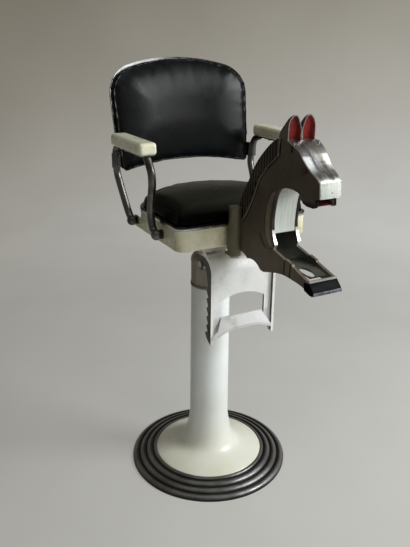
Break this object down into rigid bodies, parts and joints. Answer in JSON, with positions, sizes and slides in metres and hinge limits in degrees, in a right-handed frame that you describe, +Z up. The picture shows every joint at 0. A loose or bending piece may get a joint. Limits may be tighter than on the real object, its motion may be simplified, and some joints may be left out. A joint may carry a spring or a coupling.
{
  "type": "barber chair",
  "caption": "Child's barber chair: swivelling padded seat with armrests on a ringed pedestal, a hinged cast footrest and a horse's head of painted plates that swings aside.",
  "frame": {"origin": "centre of the base disc's underside, on the floor", "axes": "+Z up along the column, -Y to the sitter's front, towards the horse's head, +X to the sitter's left"},
  "size_m": [0.462, 0.7171, 1.1239],
  "materials": {
    "cast_dark": "worn dark casting with bright ring crests",
    "enamel_white": "gloss vitreous enamel",
    "enamel_cream": "aged gloss enamel",
    "head_steel": "worn grey-brown metal",
    "steel": "machined steel",
    "bronze": "bearing bronze",
    "chrome": "polished chrome",
    "dark_steel": "dark polished steel",
    "leather_black": "smooth black leather",
    "shell_black": "black paint",
    "plywood": "plain plywood",
    "cast_aluminium": "bare cast aluminium",
    "horse_paint": "dark metallic paint",
    "bright_aluminium": "polished aluminium",
    "red_paint": "red paint",
    "hoof_black": "gloss black paint",
    "hoof_strip": "polished aluminium",
    "rubber_black": "black rubber"
  },
  "bodies": {
    "pedestal": {"base_plate": "cast_dark", "column": "enamel_white", "base_bolts": "steel", "swivel_bush": "bronze", "swivel_collar": "steel", "thrust_washer": "steel"},
    "seat": {"seat_pan": "enamel_cream", "armrest_right": "enamel_cream", "armrest_left": "enamel_cream", "swivel_head": "head_steel", "spindle": "steel", "spindle_nut": "steel", "mount_plate": "steel", "mount_bolts": "steel", "hanger_bolts": "steel", "footrest_pivots": "steel", "arm_screws": "steel", "bracket_screws": "steel", "hinge_pin": "steel", "seat_trim": "chrome", "back_bead": "chrome", "post_bosses": "dark_steel", "post_front_right": "dark_steel", "post_front_left": "dark_steel", "post_rear_right": "dark_steel", "post_rear_left": "dark_steel", "arm_strap_right": "dark_steel", "arm_strap_left": "dark_steel", "back_brackets": "dark_steel", "seat_cushion": "leather_black", "back_cushion": "leather_black", "back_shell": "shell_black", "seat_board": "plywood", "hanger_bar": "cast_aluminium", "horse_bracket": "horse_paint", "horse_rest": "horse_paint", "rest_pad": "rubber_black"},
    "footrest": {"footrest_frame": "cast_aluminium"},
    "horse": {"horse_barrel": "horse_paint", "horse_plate_right": "horse_paint", "horse_plate_left": "horse_paint", "neck_plate": "horse_paint", "chest_plate": "bright_aluminium", "face_plate": "bright_aluminium", "face_screws": "steel", "leg_floor": "horse_paint", "tie_rods": "steel", "ear_right": "red_paint", "ear_left": "red_paint", "eyes": "red_paint", "mouth_plate": "red_paint", "hoof_block": "hoof_black", "hoof_strip": "hoof_strip", "leg_lip": "bright_aluminium"}
  },
  "joints": [
    {"name": "seat_swivel", "type": "hinge", "parent": "pedestal", "child": "seat", "pos_m": [0, 0, 0.553], "axis": [0, 0, 1], "continuous": true},
    {"name": "footrest_swing", "type": "hinge", "parent": "seat", "child": "footrest", "pos_m": [0, -0.118, 0.652], "axis": [-1, 0, 0], "range_deg": [0, 45]},
    {"name": "horse_swing", "type": "hinge", "parent": "seat", "child": "horse", "pos_m": [-0.042, -0.191, 0.75], "axis": [0, 0, -1], "range_deg": [0, 90]}
  ]
}
